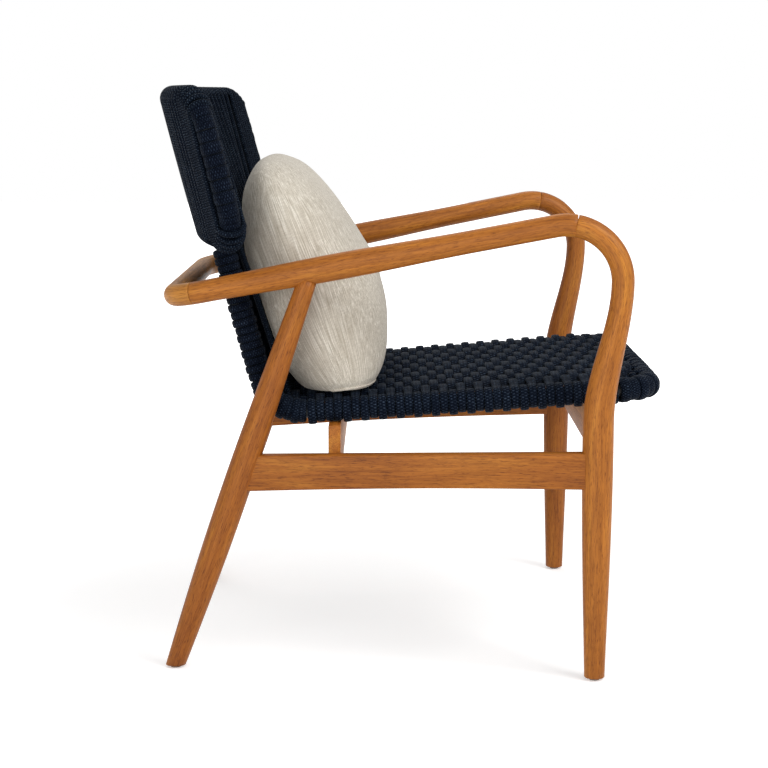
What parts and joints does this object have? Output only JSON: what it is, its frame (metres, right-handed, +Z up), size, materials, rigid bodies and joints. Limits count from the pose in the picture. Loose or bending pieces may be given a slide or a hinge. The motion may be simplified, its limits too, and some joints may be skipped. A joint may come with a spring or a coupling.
{
  "type": "armchair",
  "caption": "Low lounge armchair: bent teak arms and turned rear legs carry a seat and winged back woven from rope on a tube frame, with a loose lumbar pillow.",
  "frame": {"origin": "centre of the bounding box in plan, on the floor", "axes": "+X to the sitter's right seen from the front, +Y to the back, +Z up"},
  "size_m": [0.6772, 0.717, 0.8123],
  "materials": {
    "teak": "satin oiled teak, golden brown, fine grain along each piece",
    "pale_teak": "satin oiled teak, lighter and yellower",
    "coated_tube": "matt dark powder coat",
    "rope": "braided outdoor rope, dark navy",
    "cord": "braided outdoor cord, dark navy",
    "linen": "woven linen, pale beige",
    "glide": "matt grey-beige",
    "bolt_steel": "plain stainless steel"
  },
  "bodies": {
    "root": {"arm_left": "teak", "arm_right": "teak", "front_leg_left": "teak", "front_leg_right": "teak", "rear_leg_left": "teak", "rear_leg_right": "teak", "side_stretcher_left": "teak", "side_stretcher_right": "teak", "front_rail": "teak", "cross_rail": "teak", "back_bow": "pale_teak", "rail_dowels": "pale_teak", "bow_dowels": "pale_teak", "seat_front_tube": "coated_tube", "side_tube_left": "coated_tube", "side_tube_right": "coated_tube", "seat_rear_tube": "coated_tube", "support_tube_front": "coated_tube", "support_tube_rear": "coated_tube", "upper_back_tube": "coated_tube", "seat_ropes_across": "rope", "seat_ropes_along": "rope", "seat_turns_left": "rope", "seat_turns_right": "rope", "nose_turns": "rope", "post_turns_left": "rope", "post_turns_right": "rope", "wing_turns_left": "rope", "wing_turns_right": "rope", "back_cords_front": "cord", "back_cords_rear": "cord", "top_cord_turns": "cord", "lower_cord_turns": "cord", "rear_cord_turns": "cord", "glides": "glide", "frame_bolts": "bolt_steel", "pillow": "linen"}
  },
  "joints": []
}
